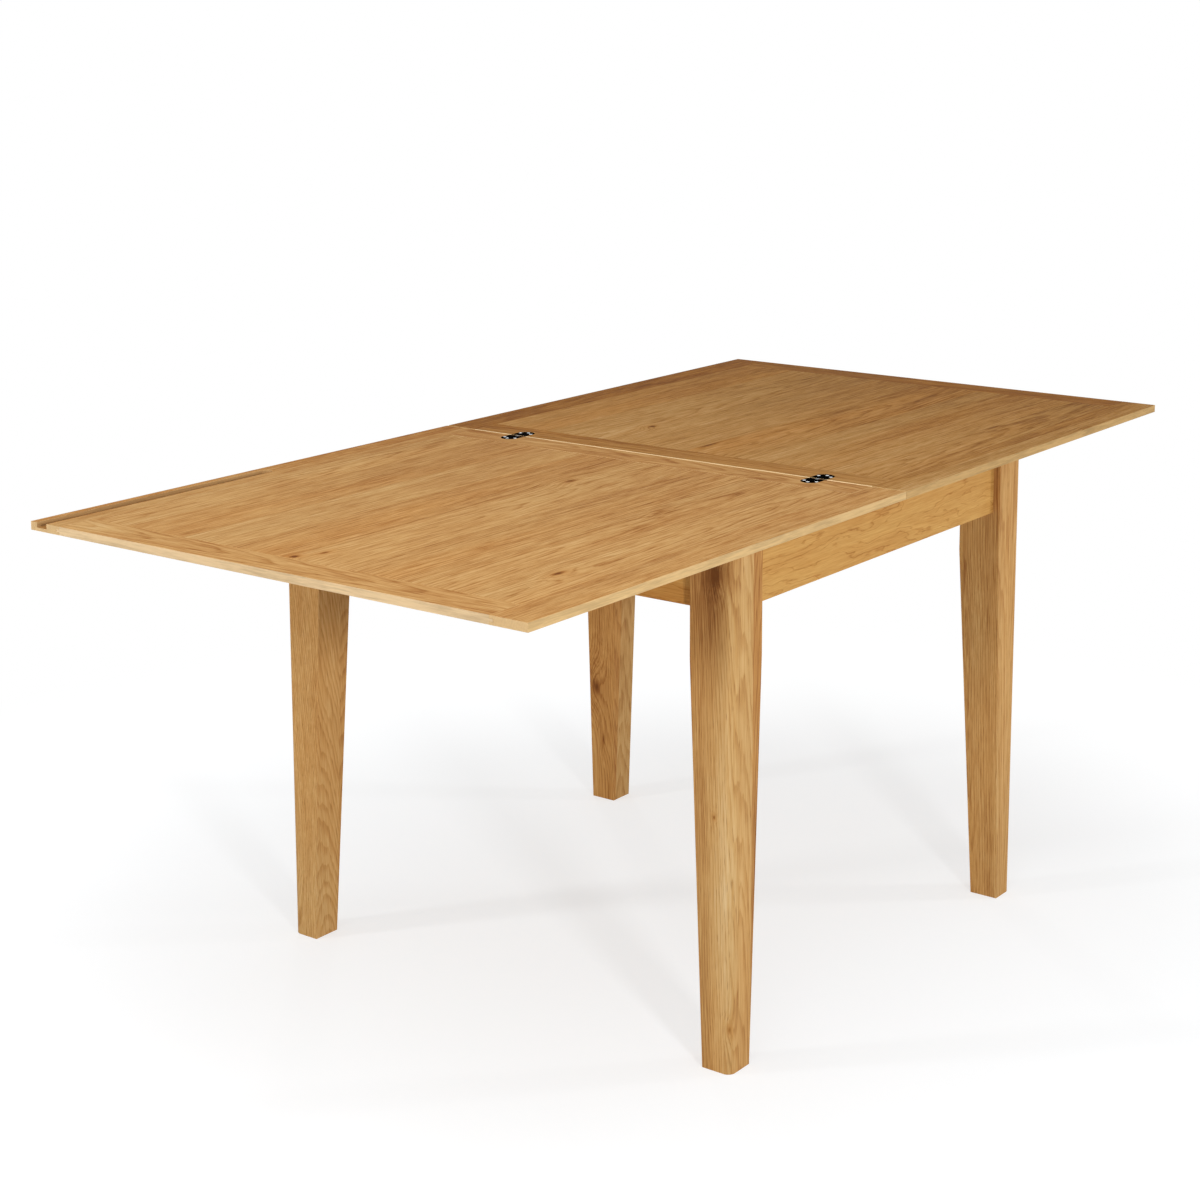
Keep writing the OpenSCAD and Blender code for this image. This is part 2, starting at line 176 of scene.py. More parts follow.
satinOak = {
    "grain": "Y",         # the axis that the fibres follow
    "onEdge": False,      # a board that stands on edge, its width upright
    "seed": 0.0,
    "tones": [  # from the darkest mineral streak to the palest sapwood
        (0.00, (0.165, 0.054, 0.013)),
        (0.22, (0.330, 0.131, 0.034)),
        (0.40, (0.466, 0.217, 0.064)),
        (0.55, (0.564, 0.300, 0.102)),
        (0.75, (0.655, 0.383, 0.147)),
        (1.00, (0.752, 0.508, 0.240)),
    ],
    "tone": 0.55,
    "boards": [(-1.0, 0.0, 0.0, 0.12, 0.0)],  # from, tone, pith across, pith below, redness
    "boardJump": 37.0,    # keeps the figures of neighbouring boards apart
    "lean": 0.045,        # how the board's surface leans to its pith
    "level": 0.0,         # where the board's main face lies, through its thickness
    "slant": 0.0,         # fibres that run off to one side, per metre
    # Wander and figure. A scale is the noise along and across the grain, per metre.
    "drift": 0.012,       # how far all fibres wander together
    "driftScale": (1.3, 5.0),
    "wobble": 0.010,      # how far the rings wander
    "wobbleScale": (2.2, 14.0),
    "band": 70.0,         # groups of rings, per metre
    "bandAmount": 0.24,
    "ring": 0.0040,       # width of one ring
    "ringEdges": (0.30, 0.88),  # where in a ring its dark early wood begins and is darkest
    "ringEnd": 0.90,      # where that wood begins to fade out towards the next ring
    "ringAmount": 0.10,
    "ringUneven": 0.9,    # how much the rings' widths differ
    "ringGather": 1.5,    # how much the rings crowd into the bands
    "unevenScale": (9.0, 130.0),
    "streakAmount": 0.38,
    "streakScale": (5.0, 75.0),
    "fibreAmount": 1.05,
    "fibreScale": (20.0, 320.0),
    "mottleAmount": 0.26,
    "mottleScale": (5.0, 16.0),
    "poreAmount": 0.50,
    "poreScale": (45.0, 1000.0),
    "poreEdges": (0.56, 0.68),
    "poresInRings": 0.8,  # how much the pores keep to the early wood
    "poreColour": (0.23, 0.088, 0.022),
    # Hue
    "warmth": 1.2,        # how much the hue changes from golden to reddish
    "hueScale": (1.4, 11.0),
    "knotRed": 2.5,       # reddens the wood round a knot
    "tints": [(0.1, (0.97, 1.01, 1.06)), (0.5, (1.0, 1.0, 1.0)), (0.9, (1.02, 0.925, 0.80))],
    # Marks of single pieces
    "knots": [],          # along, across, through, size, length over width, depth of tone
    "clouds": [],         # darker or paler patches: along, across, through, length, width, amount
    "sapwood": [],        # pale strips: from, to, rise per metre along, amount, measured through the board
    "sapwoodWave": 0.012,
    "pale": (0.66, 0.46, 0.235),
    "paleEdgesAndHighlight": 0.0,     # how much of that colour the cut edges show: paler edge wood, and a painted highlight on the eased arrises and chamfers
    "edgeLineTone": 0.74,         # how bright the darker lines in those edges are
    "edgeLineSpan": (0.36, 0.60),
    "endPale": (0.66, 0.46, 0.235),
    "endGrain": 0.50,     # how much less pale a face is that cuts the grain
    "corners": 0.0,       # painted highlight: how much paler the eased upright corners are
    "roundFrom": 0.411,   # x and y from which a leg's round outer corner begins, which gets no painted corner highlight and is no paler than its faces
    "groove": None,       # a groove's box in x and z, where shade is painted: from x, to x, from z, to z
    "groovePaintedShade": 0.0,
    "grooveShadeColour": (0.300, 0.135, 0.038),
    # Surface
    "roughness": 0.56,
    "roughMottle": 0.12,
    "roughPores": 0.15,
    "specular": 0.010,
    "bump": 0.16,
    "bumpDepth": 0.25 * mm,
    "fibreHeight": 0.6,
    "ringHeight": 0.3,
}
grainAxes = {"X": (0, 1, 2), "Y": (1, 0, 2), "Z": (2, 1, 0)}  # along, across, through
boardSpan = 2.0  # the ramp of board values covers -1 m to 1 m
deepest = 0.3    # the lowest pith that the ramp can hold
noiseKinds = {  # detail, roughness and what is added to the piece's seed
    "drift": (2.0, 0.5, 0.0), "wobble": (3.0, 0.5, 3.1), "uneven": (2.0, 0.5, 0.0), "hue": (2.0, 0.5, 9.7),
    "fibre": (3.0, 0.7, 0.0), "streak": (3.0, 0.6, 0.0), "mottle": (3.0, 0.5, 0.0), "pore": (1.0, 0.5, 0.0),
}
bandNoise = (2.5, 0.6)  # detail and roughness
knotLook = {
    "push": 2.6,          # how far a knot moves the fibres, in parts of its size
    "ringPush": 0.8,      # the share of that which moves the rings outwards
    "shade": 0.22,        # the dark wood round the knot, in parts of its depth of tone
    "pushFall": 0.05, "shadeFall": 0.12, "coreFall": 0.9,  # how soon each of them fades outwards
}


def boardValues(tree, across, boards):
    stops = [((start + boardSpan / 2) / boardSpan, (0.5 + tone, 0.5 + pithAcross / 2, pithBelow / deepest))
             for start, tone, pithAcross, pithBelow, redness in boards]  # the alpha holds the redness
    place = calc(tree, "MULTIPLY_ADD", across, 1 / boardSpan, 0.5)
    ramp = addNode(tree, "ValToRGB", {"Fac": place})
    setStops(ramp.color_ramp, stops, "CONSTANT")
    for element, (*others, redness) in zip(ramp.color_ramp.elements, boards):
        element.alpha = 0.5 + redness
    parts = addNode(tree, "SeparateColor", {0: ramp.outputs[0]}).outputs
    tone = calc(tree, "SUBTRACT", parts[0], 0.5)
    pithAcross = calc(tree, "MULTIPLY_ADD", parts[1], 2.0, -1.0)
    pithBelow = times(tree, parts[2], deepest)
    redness = calc(tree, "SUBTRACT", ramp.outputs[1], 0.5)
    return tone, pithAcross, pithBelow, redness


def fading(tree, square, fall):
    # 1 in the middle of a patch, less and less outwards
    return calc(tree, "EXPONENT", times(tree, square, -fall))


def knotField(tree, u, v, w, level, knots):
    # Each knot darkens the wood round it and bends the rings
    push, shade, core = 0.0, 0.0, 0.0
    for along, across, through, size, stretch, depth in knots:
        through = level if through is None else through
        du = times(tree, calc(tree, "SUBTRACT", u, along), 1 / (size * stretch))
        dv = times(tree, calc(tree, "SUBTRACT", v, across), 1 / size)
        dw = times(tree, calc(tree, "SUBTRACT", w, through), 1 / size)
        square = plus(tree, times(tree, du, du), times(tree, dv, dv), times(tree, dw, dw))
        pushed = times(tree, fading(tree, square, knotLook["pushFall"]), size * knotLook["push"])
        shaded = times(tree, fading(tree, square, knotLook["shadeFall"]), depth * knotLook["shade"])
        cored = times(tree, fading(tree, square, knotLook["coreFall"]), depth)
        push, shade, core = plus(tree, pushed, push), plus(tree, shaded, shade), plus(tree, cored, core)
    return push, shade, core


def patchTone(tree, look, u, v, w, slow, tone):
    for alongAt, acrossAt, throughAt, length, width, amount in look["clouds"]:
        square = 0.0
        for axis, middle, reach in ((u, alongAt, length), (v, acrossAt, width), (w, throughAt, width)):
            off = times(tree, calc(tree, "SUBTRACT", axis, middle), 1 / reach)
            square = plus(tree, times(tree, off, off), square)
        tone = plus(tree, tone, times(tree, fading(tree, square, 1.0), amount))
    for start, end, rise, amount in look["sapwood"]:
        place = plus(tree, w, times(tree, u, rise), swing(tree, slow, look["sapwoodWave"]))
        tone = plus(tree, tone, smooth(tree, place, start, end, 0.0, amount))
    return tone


def addPaleEdgesAndHighlights(tree, look, coords, streak, fibre, colour):
    # The leaves' edges are paler than their upper surface: paler edge wood, and a painted highlight where
    # the eased arrises and chamfers catch the light
    normal = splitXYZ(tree, coords.outputs["Normal"])
    level, tilted = 0.97, 0.80  # a face's normal along an axis, from square on to leaning away
    edge = smooth(tree, calc(tree, "ABSOLUTE", normal[2]), level, tilted, 0.0, look["paleEdgesAndHighlight"])
    cut = smooth(tree, calc(tree, "ABSOLUTE", normal["XYZ".index(look["grain"])]), tilted, level)
    edge = times(tree, edge, calc(tree, "MULTIPLY_ADD", cut, -look["endGrain"], 1.0))
    edgeLineTone = tuple(part * look["edgeLineTone"] for part in look["pale"])
    half = calc(tree, "ADD", times(tree, streak, 0.5), times(tree, fibre, 0.5))
    lines = smooth(tree, half, *look["edgeLineSpan"])
    pale = mixColour(tree, cut, mixColour(tree, lines, edgeLineTone, look["pale"]), look["endPale"])
    return mixColour(tree, edge, colour, pale)


def addCornerHighlights(tree, look, coords, xyz, colour):
    # Painted highlight: the eased upright corners of the legs are made paler, as where they catch the light
    normal = splitXYZ(tree, coords.outputs["Normal"])
    flat, slanting = 0.15, 0.45  # the product of the normal's x and y, 0 on a face
    slanted = calc(tree, "ABSOLUTE", times(tree, normal[0], normal[1]))
    eased = smooth(tree, slanted, flat, slanting, 0.0, look["corners"])
    nearer = calc(tree, "MINIMUM", calc(tree, "ABSOLUTE", xyz[0]), calc(tree, "ABSOLUTE", xyz[1]))
    eased = times(tree, eased, calc(tree, "LESS_THAN", nearer, look["roundFrom"]))
    return mixColour(tree, eased, colour, look["pale"])


def paintGrooveShade(tree, look, xyz, colour):
    # Painted shade on the walls and floor of the lifting groove, darker than the surface round it
    fromX, toX, fromZ, toZ = look["groove"]
    inside = times(
        tree,
        calc(tree, "GREATER_THAN", xyz[0], fromX), calc(tree, "LESS_THAN", xyz[0], toX),
        calc(tree, "GREATER_THAN", xyz[2], fromZ), calc(tree, "LESS_THAN", xyz[2], toZ),
    )
    return mixColour(tree, times(tree, inside, look["groovePaintedShade"]), colour, look["grooveShadeColour"])


def oakMaterial(name, changes):
    look = {**satinOak, **changes}
    material, tree = newMaterial(name)
    coords = addNode(tree, "TexCoord")
    xyz = splitXYZ(tree, coords.outputs["Object"])
    u, v, w = (xyz[i] for i in grainAxes[look["grain"]])
    if look["onEdge"]:
        v, w = w, v

    # rings
    tone, pithAcross, pithBelow, redness = boardValues(tree, v, look["boards"])
    boardShift = times(tree, plus(tree, tone, pithAcross, pithBelow), look["boardJump"])
    push, shade, core = knotField(tree, u, v, w, look["level"], look["knots"])
    along = plus(tree, u, boardShift)

    def grainNoise(kind, across):
        detail, roughness, seedShift = noiseKinds[kind]
        vector = stretched(tree, along, across, w, *look[kind + "Scale"], look["seed"] + seedShift)
        return noiseOf(tree, vector, 1.0, detail, roughness)

    wander = grainNoise("drift", v)
    line = plus(tree, v, swing(tree, wander, look["drift"] * 2), times(tree, u, look["slant"]), push)
    slow = grainNoise("wobble", v)
    side = calc(tree, "SUBTRACT", line, pithAcross)
    deep = plus(tree, pithBelow, times(tree, u, look["lean"]), w, -look["level"])
    radius = calc(tree, "SQRT", plus(tree, times(tree, side, side), times(tree, deep, deep)))
    bend = times(tree, push, knotLook["ringPush"])
    radius = plus(tree, radius, swing(tree, slow, look["wobble"] * 2), bend)
    band = lineNoise(tree, plus(tree, times(tree, radius, look["band"]), boardShift), *bandNoise)
    uneven = swing(tree, grainNoise("uneven", line), look["ringUneven"])
    turns = plus(tree, times(tree, radius, 1 / look["ring"]), uneven, swing(tree, band, look["ringGather"]))
    ring = calc(tree, "FRACT", turns)
    early = times(tree, smooth(tree, ring, *look["ringEdges"]), smooth(tree, ring, 1.0, look["ringEnd"]))

    # fibres, streaks and pores
    fibre = grainNoise("fibre", line)
    streak = grainNoise("streak", line)
    mottle = grainNoise("mottle", v)
    pore = smooth(tree, grainNoise("pore", line), *look["poreEdges"])
    inRings = look["poresInRings"]
    pore = times(tree, pore, plus(tree, times(tree, early, inRings), 1.0 - inRings))

    # colour
    value = plus(
        tree, look["tone"], patchTone(tree, look, u, v, w, slow, tone),
        swing(tree, band, look["bandAmount"]),
        times(tree, early, -look["ringAmount"]),
        swing(tree, streak, look["streakAmount"]),
        swing(tree, fibre, look["fibreAmount"]),
        swing(tree, mottle, look["mottleAmount"]),
        times(tree, shade, -1.0),
        times(tree, core, -1.0),
    )
    hue = swing(tree, grainNoise("hue", line), look["warmth"])
    hue = plus(tree, 0.5, hue, redness, times(tree, shade, look["knotRed"]))
    colour = rampOf(tree, value, look["tones"])
    colour = mixColour(tree, 1.0, colour, rampOf(tree, hue, look["tints"]), "MULTIPLY")
    colour = mixColour(tree, times(tree, pore, look["poreAmount"]), colour, look["poreColour"])
    # pale cut edges, with a painted highlight on their eased arrises and chamfers
    if look["paleEdgesAndHighlight"]:
        colour = addPaleEdgesAndHighlights(tree, look, coords, streak, fibre, colour)
    if look["corners"]:
        colour = addCornerHighlights(tree, look, coords, xyz, colour)
    if look["groove"]:
        colour = paintGrooveShade(tree, look, xyz, colour)

    # surface
    fibreHeight = swing(tree, fibre, look["fibreHeight"])
    height = plus(tree, times(tree, pore, -1.0), fibreHeight, times(tree, early, -look["ringHeight"]))
    bump = addNode(tree, "Bump", {"Height": height, "Strength": look["bump"], "Distance": look["bumpDepth"]})
    mottled = swing(tree, mottle, look["roughMottle"])
    closeMaterial(tree, {
        "Base Color": colour,
        "Roughness": plus(tree, look["roughness"], mottled, times(tree, pore, look["roughPores"])),
        "Specular IOR Level": look["specular"],
        "Normal": bump.outputs[0],
    })
    return material


easing = {"mergeWithin": 0.01 * mm, "segments": 2, "sharpFrom": math.radians(40)}


def dress(nodeName, material, bevel=0.0):
    # Gives a solid its material and eases its sharp edges
    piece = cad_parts[nodeName]
    piece.data.materials.clear()
    piece.data.materials.append(material)
    if bevel:
        weld = piece.modifiers.new("joined corners", "WELD")
        weld.merge_threshold = easing["mergeWithin"]
        eased = piece.modifiers.new("eased edges", "BEVEL")
        eased.width = bevel
        eased.segments = easing["segments"]
        eased.limit_method = "ANGLE"
        eased.angle_limit = easing["sharpFrom"]


def oakName(nodeName, start="oak"):
    # leg_front_left becomes oakLegFrontLeft
    return start + nodeName.title().replace("_", "")


# Flap, the near leaf: eight veneers framed by four rails
flapLook = {
    "panel": {
        "grain": "Y", "level": topZ, "lean": 0.03, "ring": 0.0048, "ringEdges": (0.52, 0.92),
        "ringAmount": 0.20, "tone": 0.58, "streakAmount": 0.27, "warmth": 1.0,
    },
    "side": {
        "grain": "Y", "level": topZ, "paleEdgesAndHighlight": 0.9, "tone": 0.56, "bandAmount": 0.30, "endGrain": 0.15,
        "pale": (0.70, 0.480, 0.228), "endPale": (0.69, 0.485, 0.250),
    },
    "end": {
        "grain": "X", "level": topZ, "paleEdgesAndHighlight": 0.9, "tone": 0.56, "bandAmount": 0.32,
        "ring": 0.0062, "ringEdges": (0.50, 0.92), "ringAmount": 0.18, "pale": (0.78, 0.57, 0.330),
    },
    "pieces": {
        "flap_panel": ("panel", {
            "seed": 3.7,
            "boards": [
                (-1.000, 0.06, -0.352, 0.045, -0.20), (-0.315, -0.01, -0.480, 0.100, -0.10),
                (-0.210, 0.05, -0.050, 0.070, -0.20), (-0.115, -0.02, -0.300, 0.120, 0.00),
                (-0.010, 0.05, 0.045, 0.035, -0.15), (0.095, -0.01, 0.400, 0.120, -0.05),
                (0.205, 0.03, 0.255, 0.040, -0.20), (0.315, 0.05, 0.352, 0.050, -0.10),
            ],
            "clouds": [(-0.12, -0.10, topZ, 0.35, 2.0, -0.05)],
            "knots": [
                (-0.830, -0.002, None, 0.0048, 1.3, 0.66), (-0.790, 0.015, None, 0.0036, 2.2, 0.42),
                (-0.695, 0.335, None, 0.0046, 2.2, 0.54), (-0.237, 0.000, None, 0.0060, 1.8, 0.34),
                (-0.325, 0.230, None, 0.0045, 2.0, 0.20),
            ],
        }),
        "flap_right_rail": ("side", {
            "seed": 8.3, "tone": 0.54,
            "boards": [(-1.0, 0.0, 0.53, 0.09, 0.05), (0.400, 0.05, 0.60, 0.10, -0.10)],
        }),
        "flap_left_rail": ("side", {
            # painted shade in the lifting groove along the left edge
            "seed": 9.6, "groovePaintedShade": 0.50,
            "groove": (-0.4371, -0.4169, topZ - 7.6 * mm, topZ - 0.4 * mm),
            "boards": [(-1.0, -0.03, -0.30, 0.08, 0.1), (-0.4175, 0.06, -0.28, 0.07, -0.15)],
            "clouds": [(-0.12, -0.42, topZ, 0.28, 2.0, -0.14)],
        }),
        "flap_end_rail": ("end", {
            "seed": 12.1, "lean": 0.06,
            "boards": [(-1.0, 0.01, -0.865, 0.040, -0.15)],
            "clouds": [(-0.40, -0.87, topZ, 0.16, 2.0, 0.07)],
        }),
        "flap_seam_rail": ("end", {
            "seed": 15.9, "lean": 0.09, "slant": 0.05, "tone": 0.54, "wobble": 0.018,
            # here the pale colour is a painted highlight: the bright line along the chamfer at the seam
            "paleEdgesAndHighlight": 1.0, "pale": (0.98, 0.74, 0.42),
            "boards": [(-1.0, 0.0, -0.03, 0.035, 0.0)],
            "knots": [(-0.372, -0.012, None, 0.010, 2.6, 0.22)],
        }),
    },
    "bevel": 0.35 * mm,
}
for name, (kind, changes) in flapLook["pieces"].items():
    changes = {**flapLook[kind], **changes}
    dress(name, oakMaterial(oakName(name.replace("_rail", "")), changes), flapLook["bevel"])
print("table: flap in oak")

# Fixed leaf, the far one: wider veneers, browner wood
leafLook = {
    "common": {
        "tones": [
            (0.00, (0.115, 0.038, 0.008)), (0.22, (0.237, 0.094, 0.021)), (0.40, (0.352, 0.162, 0.041)),
            (0.55, (0.447, 0.222, 0.061)), (0.75, (0.538, 0.294, 0.101)), (1.00, (0.639, 0.399, 0.180)),
        ],
    },
    "panel": {
        "grain": "Y", "level": topZ, "lean": 0.03, "ring": 0.0048, "ringEdges": (0.52, 0.92),
        "ringAmount": 0.18,
    },
    "side": {"grain": "Y", "level": topZ, "paleEdgesAndHighlight": 0.9, "pale": (0.60, 0.385, 0.165)},
    "end": {"grain": "X", "level": topZ, "paleEdgesAndHighlight": 0.9, "tone": 0.38},
    "pieces": {
        "leaf_panel": ("panel", {
            "seed": 23.4,
            "boards": [
                (-1.000, -0.02, -0.550, 0.090, 0.1), (-0.285, 0.03, -0.190, 0.060, -0.1),
                (-0.100, 0.00, 0.200, 0.120, 0.0), (0.005, -0.04, 0.065, 0.050, 0.1),
                (0.125, 0.03, 0.420, 0.120, -0.2), (0.170, -0.03, -0.100, 0.110, 0.0),
                (0.230, 0.03, 0.450, 0.100, -0.1), (0.305, -0.02, 0.345, 0.060, 0.1),
            ],
            "knots": [(0.125, 0.012, None, 0.0026, 9.0, 0.55), (0.200, -0.160, None, 0.0042, 1.4, 0.50)],
            "clouds": [(0.05, 0.15, topZ, 0.45, 2.0, 0.13), (0.92, 0.0, topZ, 0.35, 2.0, -0.07)],
        }),
        "leaf_right_rail": ("side", {
            "seed": 28.8,
            "boards": [(-1.0, -0.13, 0.50, 0.08, 0.1), (0.412, 0.02, 0.55, 0.09, 0.0)],
            "knots": [(0.626, 0.450, 0.7655, 0.0030, 2.2, 0.60)],
            "clouds": [(0.05, 0.42, topZ, 0.45, 2.0, 0.12)],
        }),
        "leaf_left_rail": ("side", {"seed": 29.9, "tone": 0.36, "boards": [(-1.0, 0.0, -0.52, 0.08, 0.4)]}),
        "leaf_end_rail": ("end", {"seed": 33.5, "boards": [(-1.0, 0.0, 0.95, 0.10, 0.2)]}),
        "leaf_seam_rail": ("end", {
            # here the pale colour is a painted highlight: the bright line along the chamfer at the seam
            "seed": 37.2, "tone": 0.47, "paleEdgesAndHighlight": 1.0, "pale": (0.98, 0.74, 0.42),
            "boards": [(-1.0, 0.0, 0.10, 0.12, 0.1)],
            "clouds": [(0.30, 0.03, topZ, 0.28, 2.0, 0.10)],
        }),
    },
    "bevel": 0.35 * mm,
}
for name, (kind, changes) in leafLook["pieces"].items():
    changes = {**leafLook["common"], **leafLook[kind], **changes}
    dress(name, oakMaterial(oakName(name.replace("_rail", "")), changes), leafLook["bevel"])
print("table: fixed leaf in oak")

# Base: four tapered legs glued up from two or three boards each, and four aprons
legLook = {
    "common": {
        "grain": "Z", "tone": 0.58, "lean": 0.028, "ringAmount": 0.15, "bandAmount": 0.24, "specular": 0.08,
        "streakAmount": 0.22, "streakScale": (3.0, 110.0), "fibreAmount": 0.75, "fibreScale": (14.0, 420.0),
        # corners and pale paint a highlight along the eased upright corners of the legs
        "corners": 0.45, "pale": (0.80, 0.59, 0.32),
        "tones": [
            (0.00, (0.150, 0.052, 0.012)), (0.22, (0.305, 0.130, 0.036)), (0.40, (0.435, 0.217, 0.068)),
            (0.55, (0.533, 0.295, 0.100)), (0.75, (0.622, 0.384, 0.155)), (1.00, (0.725, 0.515, 0.265)),
        ],
    },
    "legs": {
        "leg_front_right": {
            "seed": 41.3, "level": 0.425, "lean": 0.05, "bandAmount": 0.13,
            "boards": [(-1.0, -0.05, -0.412, 0.055, 0.0), (-0.4140, 0.06, -0.412, 0.055, 0.0),
                       (-0.381, -0.14, -0.30, 0.080, 0.25)],
            "clouds": [
                # the first cloud is painted shade of the flap over the top of the leg's -Y face
                (0.755, -0.425, 0.390, 0.135, 0.025, -0.42), (0.0, -0.425, 0.390, 0.260, 0.060, -0.07),
                # this cloud is a paler strip at the round outer corner, part paler wood and part painted
                # highlight where the round catches the light
                (0.24, -0.425, 0.412, 0.450, 0.020, 0.34),
            ],
            "knots": [
                (0.7202, -0.425, 0.3961, 0.0042, 1.6, 0.46), (0.3752, -0.425, 0.395, 0.0014, 2.0, 0.45),
                (0.0670, -0.4215, 0.4205, 0.0020, 2.4, 0.35),
            ],
        },
        "leg_front_left": {
            "seed": 44.6, "level": -0.353, "lean": 0.07, "slant": 0.10, "tone": 0.60, "corners": 0.95,
            "boards": [(-1.0, 0.05, -0.40, 0.060, 0.25), (-0.381, -0.03, -0.32, 0.050, 0.2)],
        },
        "leg_back_right": {
            "seed": 47.2, "level": 0.425, "tone": 0.60, "corners": 0.0,
            "sapwood": [(0.4232, 0.4244, 0.0, 0.10)],
            # the cloud is painted shade on the strip of the leg's -Y face beside the apron, under the top
            "clouds": [(0.715, 0.353, 0.420, 0.080, 0.012, -0.20)],
            "boards": [(-1.0, -0.03, 0.36, 0.045, 0.15), (0.396, -0.06, 0.45, 0.09, 0.35)],
        },
        "leg_back_left": {
            "seed": 52.8, "level": -0.353, "corners": 0.9,
            "boards": [(-1.0, -0.05, 0.36, 0.070, 0.4), (0.380, 0.03, 0.40, 0.09, 0.0)],
            "clouds": [(0.235, 0.368, -0.408, 0.115, 0.022, -0.05)],
            "knots": [
                (0.219, 0.3682, -0.412, 0.0070, 2.0, 0.40), (0.118, 0.3723, -0.396, 0.0024, 4.5, 0.34),
            ],
        },
    },
    "bevel": 1.2 * mm,
}
for name, changes in legLook["legs"].items():
    dress(name, oakMaterial(oakName(name), {**legLook["common"], **changes}), legLook["bevel"])

apronLook = {
    "common": {
        "onEdge": True, "lean": 0.05, "wobble": 0.013, "wobbleScale": (10.0, 34.0), "ring": 0.0070,
        "ringEdges": (0.74, 0.95), "bandAmount": 0.26, "ringAmount": 0.20, "specular": 0.08,
        "streakAmount": 0.16, "fibreAmount": 0.70, "fibreScale": (16.0, 420.0), "mottleAmount": 0.18,
        "tones": [
            (0.00, (0.160, 0.050, 0.009)), (0.22, (0.320, 0.122, 0.024)), (0.40, (0.452, 0.203, 0.046)),
            (0.55, (0.548, 0.280, 0.073)), (0.75, (0.636, 0.358, 0.105)), (1.00, (0.730, 0.475, 0.180)),
        ],
    },
    "side": {"grain": "Y", "tone": 0.60, "warmth": 0.8},
    "end": {"grain": "X", "tone": 0.55},
    "aprons": {
        "apron_right": ("side", {
            "seed": 61.7, "level": 0.413,
            "boards": [(-1.0, 0.02, 0.640, 0.10, -0.1), (0.700, 0.0, 0.735, 0.030, -0.15)],
            "knots": [(0.0606, 0.7437, 0.413, 0.0016, 1.6, 0.8)],
        }),
        "apron_left": ("side", {"seed": 64.9, "level": -0.391, "boards": [(-1.0, 0.0, 0.720, 0.055, 0.0)]}),
        "apron_front": ("end", {"seed": 67.1, "level": -0.413, "boards": [(-1.0, 0.0, 0.715, 0.050, 0.1)]}),
        "apron_back": ("end", {"seed": 70.4, "level": 0.391, "boards": [(-1.0, 0.0, 0.700, 0.060, 0.1)]}),
    },
    "bevel": 0.7 * mm,
}
for name, (kind, changes) in apronLook["aprons"].items():
    changes = {**apronLook["common"], **apronLook[kind], **changes}
    dress(name, oakMaterial(oakName(name), changes), apronLook["bevel"])
print("table: legs and aprons in oak")

# Inner woodwork: planed, unfinished hardwood
innerLook = {
    "common": {
        "boards": [(-1.0, 0.0, 0.2, 0.2, 0.0)], "tone": 0.50, "poreAmount": 0.10, "bandAmount": 0.24,
        "ringAmount": 0.07, "streakAmount": 0.22, "fibreAmount": 0.60, "roughness": 0.68, "specular": 0.15,
        "tones": [
            (0.00, (0.300, 0.170, 0.085)), (0.30, (0.440, 0.280, 0.155)), (0.55, (0.540, 0.370, 0.220)),
            (0.80, (0.610, 0.445, 0.285)), (1.00, (0.680, 0.530, 0.360)),
        ],
    },
    "firstSeed": 80.0,
    "seedStep": 3.3,
    "grains": {
        "guide_rail_left": "Y", "guide_rail_right": "Y", "runner_left": "Y", "runner_right": "Y",
        "corner_block_front_left": "X", "corner_block_front_right": "X",
        "corner_block_back_left": "X", "corner_block_back_right": "X",
    },
    "bevel": 0.6 * mm,
}
for number, (name, grain) in enumerate(innerLook["grains"].items()):
    seed = innerLook["firstSeed"] + innerLook["seedStep"] * number
    changes = {**innerLook["common"], "grain": grain, "seed": seed}
    dress(name, oakMaterial(oakName(name, "inner"), changes), innerLook["bevel"])
print("table: runners, guide rails and corner blocks")


# Metal and felt

metalSurface = {
    "smearNoise": (3.0, 0.6), "grainNoise": (2.0, 0.6),  # detail and roughness
    "smearEdges": (0.3, 0.7), "uneven": 0.5, "grainRough": 0.05, "bumpDepth": 0.05 * mm,
}
metals = {
    # the hinge plates' near-black colour is a painted dark reflection on polished chrome
    "plateDarkReflection": {"dark": (0.014, 0.014, 0.014), "light": (0.034, 0.034, 0.033),
                    "edgeTint": (0.08, 0.08, 0.08),
                    "smearScale": 90.0, "grainScale": 2500.0, "roughness": 0.17, "bump": 0.05},
    "linkPolish": {"dark": (0.20, 0.21, 0.20), "light": (0.34, 0.35, 0.34), "edgeTint": (0.6, 0.6, 0.6),
                   "smearScale": 200.0, "grainScale": 2500.0, "roughness": 0.20, "bump": 0.05},
    "screwPolish": {"dark": (0.84, 0.84, 0.83), "light": (0.94, 0.94, 0.93), "edgeTint": (1.0, 1.0, 1.0),
                    "smearScale": 300.0, "grainScale": 3000.0, "roughness": 0.14, "bump": 0.05},
    "brightZinc": {"dark": (0.50, 0.50, 0.48), "light": (0.68, 0.68, 0.66), "edgeTint": (1.0, 1.0, 0.98),
                   "smearScale": 140.0, "grainScale": 1800.0, "roughness": 0.34, "bump": 0.15},
}


